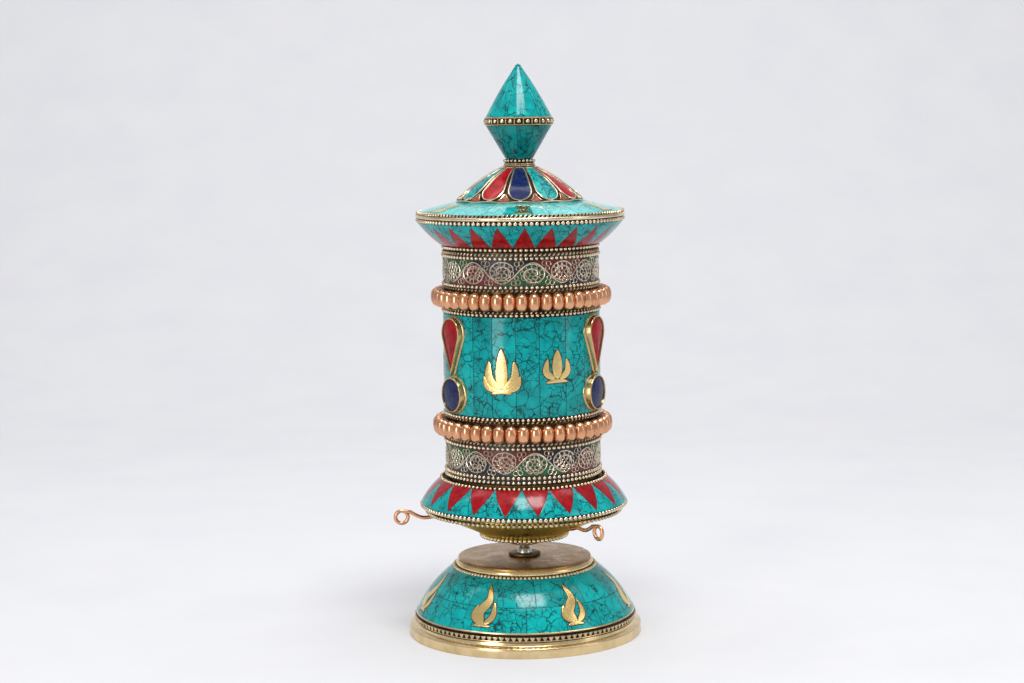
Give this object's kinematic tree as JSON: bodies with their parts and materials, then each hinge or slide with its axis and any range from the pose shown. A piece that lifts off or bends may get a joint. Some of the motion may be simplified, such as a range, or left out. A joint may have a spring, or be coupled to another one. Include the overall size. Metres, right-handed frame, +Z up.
{
  "type": "tabletop prayer wheel",
  "caption": "Stone-inlaid metal drum with a pull-off lid and finial, spinning on a steel spindle over a weighted cone base.",
  "frame": {"origin": "centre of the flat underside, on the spindle's axis", "axes": "+Z up the spindle, -Y towards the viewer at the front, +X to the viewer's right"},
  "size_m": [0.1229, 0.1172, 0.2826],
  "materials": {
    "aged_brass": "polished, darkened in the recesses",
    "copper": "polished copper, brown in the recesses",
    "white_metal": "silvered brass wire and grains on a blackened ground",
    "steel": "bright turned rod and zinc-plated nuts",
    "turquoise": "polished composite turquoise with dark crackle",
    "coral": "polished red coral composite",
    "lapis": "polished dark blue lapis",
    "plaster": "cast plaster",
    "felt": "dark red felt",
    "paper": "tightly rolled printed paper, unprinted here"
  },
  "bodies": {
    "base": {"foot_ring": "aged_brass", "base_shell": "copper", "base_inlay": "turquoise", "base_border_band": "white_metal", "base_dish": "aged_brass", "dish_washer": "steel", "dish_nut": "steel", "spindle": "steel", "lower_washer": "steel", "lower_nut": "steel", "ballast": "plaster", "base_plate": "copper", "felt_pad": "felt"},
    "pivot": {"pivot_ball": "steel"},
    "drum": {"bottom_pan": "aged_brass", "pan_bead_wire": "aged_brass", "lower_bush": "aged_brass", "axle_tube": "copper", "bearing_cup": "steel", "skirt_shell": "copper", "skirt_mosaic": "coral", "skirt_edge_wire": "white_metal", "skirt_under_wire": "white_metal", "drum_tube": "copper", "lower_filigree_band": "white_metal", "inlay_border_lower": "white_metal", "drum_inlay": "turquoise", "inlay_border_upper": "white_metal", "upper_filigree_band": "white_metal", "lower_bead_ring": "copper", "upper_bead_ring": "copper", "mantra_roll": "paper", "teardrop_bezel_1": "aged_brass", "teardrop_stone_1": "coral", "round_bezel_1": "aged_brass", "round_stone_1": "lapis", "teardrop_bezel_2": "aged_brass", "teardrop_stone_2": "coral", "round_bezel_2": "aged_brass", "round_stone_2": "lapis", "teardrop_bezel_3": "aged_brass", "teardrop_stone_3": "coral", "round_bezel_3": "aged_brass", "round_stone_3": "lapis", "pull_hook_1": "copper", "pull_hook_2": "copper", "pull_hook_3": "copper"},
    "lid": {"lid_flare_shell": "copper", "lid_mosaic": "coral", "lid_edge_wire": "white_metal", "lid_edge_band": "white_metal", "lid_top_shell": "copper", "lid_top_inlay": "turquoise", "cap_petal_inlay": "lapis", "neck_collar": "aged_brass", "finial_lower_cone": "turquoise", "finial_band": "white_metal", "finial_upper_cone": "turquoise", "finial_stud": "steel", "finial_nut": "steel"}
  },
  "joints": [
    {"name": "drum_lift", "type": "slide", "parent": "base", "child": "pivot", "axis": [0, 0, 1], "range_m": [0, 0.14]},
    {"name": "drum_spin", "type": "hinge", "parent": "pivot", "child": "drum", "pos_m": [0, 0, 0.1822], "axis": [0, 0, 1], "continuous": true},
    {"name": "lid_lift", "type": "slide", "parent": "drum", "child": "lid", "axis": [0, 0, 1], "range_m": [0, 0.04]}
  ]
}
